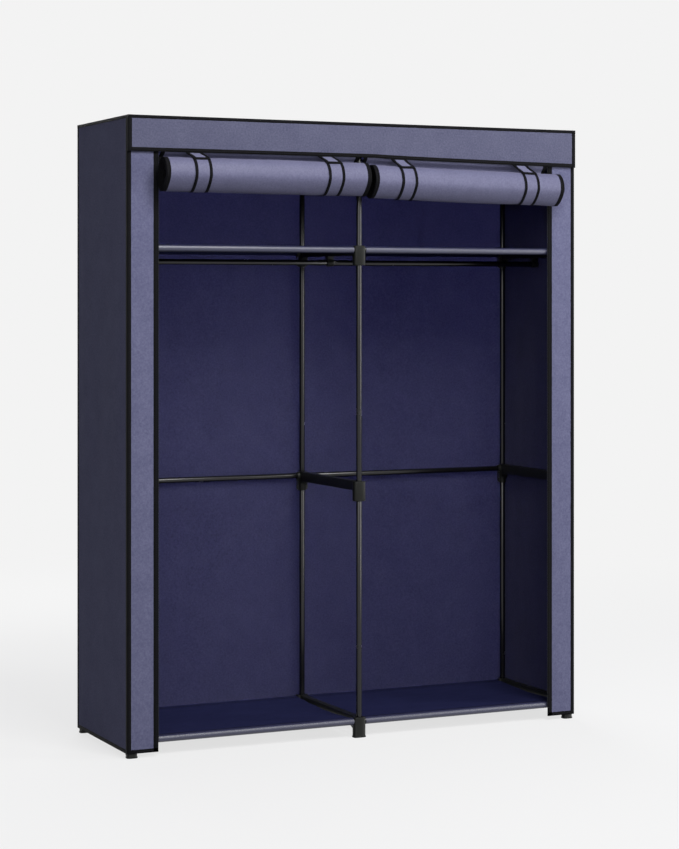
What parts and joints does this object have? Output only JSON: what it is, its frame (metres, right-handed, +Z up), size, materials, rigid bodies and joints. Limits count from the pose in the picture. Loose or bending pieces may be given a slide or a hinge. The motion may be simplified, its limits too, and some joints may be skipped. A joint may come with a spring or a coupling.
{
  "type": "portable fabric wardrobe",
  "caption": "Free-standing wardrobe of black tubes and moulded connectors under a navy cloth cover, with two doors rolled up in front, cloth shelves and hanging rods.",
  "frame": {"origin": "the middle of the base of the whole object's box, rolls included, at floor level", "axes": "+X to the user's right when facing the front, -Y to the front, where the doors roll up, +Z up"},
  "size_m": [1.4, 0.5292, 1.74],
  "materials": {
    "black_tube": "black powder coat, satin",
    "black_plastic": "moulded black plastic, satin",
    "navy_cover_cloth": "pressed non-woven cloth, matt, with black binding tape",
    "navy_shelf_cloth": "coated cloth, slightly shiny",
    "navy_door_cloth": "pressed non-woven cloth, matt, with black binding tape",
    "navy_strap_webbing": "cloth band with black bound edges",
    "hook_and_loop_tab": "hook-and-loop tape with a black bound edge",
    "zip_metal": "black lacquered metal"
  },
  "bodies": {
    "frame_and_cover": {"bottom_connector_left": "black_plastic", "bottom_connector_centre": "black_plastic", "bottom_connector_right": "black_plastic", "mid_connector_left": "black_plastic", "mid_connector_centre": "black_plastic", "mid_connector_right": "black_plastic", "shelf_connector_left": "black_plastic", "shelf_connector_centre": "black_plastic", "shelf_connector_right": "black_plastic", "top_connector_left": "black_plastic", "top_connector_centre": "black_plastic", "top_connector_right": "black_plastic", "bottom_rail_front_left": "black_tube", "bottom_rail_front_right": "black_tube", "bottom_rail_rear_left": "black_tube", "bottom_rail_rear_right": "black_tube", "mid_rail_rear_left": "black_tube", "mid_rail_rear_right": "black_tube", "shelf_rail_front_left": "black_tube", "shelf_rail_front_right": "black_tube", "shelf_rail_rear_left": "black_tube", "shelf_rail_rear_right": "black_tube", "top_rail_front_left": "black_tube", "top_rail_front_right": "black_tube", "top_rail_rear_left": "black_tube", "top_rail_rear_right": "black_tube", "hanging_rod_left": "black_tube", "hanging_rod_right": "black_tube", "lower_post_front_left": "black_tube", "lower_post_front_centre": "black_tube", "lower_post_front_right": "black_tube", "lower_post_rear_left": "black_tube", "lower_post_rear_centre": "black_tube", "lower_post_rear_right": "black_tube", "upper_post_front_left": "black_tube", "upper_post_front_centre": "black_tube", "upper_post_front_right": "black_tube", "upper_post_rear_left": "black_tube", "upper_post_rear_centre": "black_tube", "upper_post_rear_right": "black_tube", "bottom_shelf_left": "navy_shelf_cloth", "bottom_shelf_right": "navy_shelf_cloth", "upper_shelf_left": "navy_shelf_cloth", "upper_shelf_right": "navy_shelf_cloth", "cover_body": "navy_cover_cloth", "cover_top": "navy_cover_cloth", "strap_left_outer": "navy_strap_webbing", "strap_left_inner": "navy_strap_webbing", "strap_right_outer": "navy_strap_webbing", "strap_right_inner": "navy_strap_webbing"},
    "door_left": {"door_panel_left": "navy_door_cloth"},
    "door_roll_left": {"door_roll_left": "navy_door_cloth"},
    "tab_left_outer": {"tab_left_outer": "hook_and_loop_tab"},
    "tab_left_inner": {"tab_left_inner": "hook_and_loop_tab"},
    "zip_slider_left": {"zip_slider_left": "zip_metal"},
    "door_right": {"door_panel_right": "navy_door_cloth"},
    "door_roll_right": {"door_roll_right": "navy_door_cloth"},
    "tab_right_outer": {"tab_right_outer": "hook_and_loop_tab"},
    "tab_right_inner": {"tab_right_inner": "hook_and_loop_tab"},
    "zip_slider_right": {"zip_slider_right": "zip_metal"}
  },
  "joints": [
    {"name": "door_left_drop", "type": "slide", "parent": "frame_and_cover", "child": "door_left", "axis": [0, 0, -1], "range_m": [0, 1.508], "deforming": ["door_panel_left", "strap_left_outer", "strap_left_inner"]},
    {"name": "door_left_unroll", "type": "hinge", "parent": "door_left", "child": "door_roll_left", "pos_m": [-0.31175, -0.21639, 1.575], "axis": [1, 0, 0], "range_deg": [0, 2880]},
    {"name": "tab_left_outer_lift", "type": "hinge", "parent": "frame_and_cover", "child": "tab_left_outer", "pos_m": [-0.50975, -0.16659, 1.641], "axis": [-1, 0, 0], "range_deg": [0, 95]},
    {"name": "tab_left_inner_lift", "type": "hinge", "parent": "frame_and_cover", "child": "tab_left_inner", "pos_m": [-0.11375, -0.16659, 1.641], "axis": [-1, 0, 0], "range_deg": [0, 95]},
    {"name": "zip_left_run", "type": "slide", "parent": "frame_and_cover", "child": "zip_slider_left", "axis": [0, 0, -1], "range_m": [0, 1.64]},
    {"name": "door_right_drop", "type": "slide", "parent": "frame_and_cover", "child": "door_right", "axis": [0, 0, -1], "range_m": [0, 1.508], "deforming": ["door_panel_right", "strap_right_outer", "strap_right_inner"]},
    {"name": "door_right_unroll", "type": "hinge", "parent": "door_right", "child": "door_roll_right", "pos_m": [0.31175, -0.21639, 1.575], "axis": [1, 0, 0], "range_deg": [0, 2880]},
    {"name": "tab_right_outer_lift", "type": "hinge", "parent": "frame_and_cover", "child": "tab_right_outer", "pos_m": [0.50975, -0.16659, 1.641], "axis": [-1, 0, 0], "range_deg": [0, 95]},
    {"name": "tab_right_inner_lift", "type": "hinge", "parent": "frame_and_cover", "child": "tab_right_inner", "pos_m": [0.11375, -0.16659, 1.641], "axis": [-1, 0, 0], "range_deg": [0, 95]},
    {"name": "zip_right_run", "type": "slide", "parent": "frame_and_cover", "child": "zip_slider_right", "axis": [0, 0, -1], "range_m": [0, 1.64]}
  ],
  "couplings": [
    {"joint": "door_left_unroll", "follows": "door_left_drop", "rad_per_m": 33.333},
    {"joint": "door_right_unroll", "follows": "door_right_drop", "rad_per_m": 33.333}
  ]
}
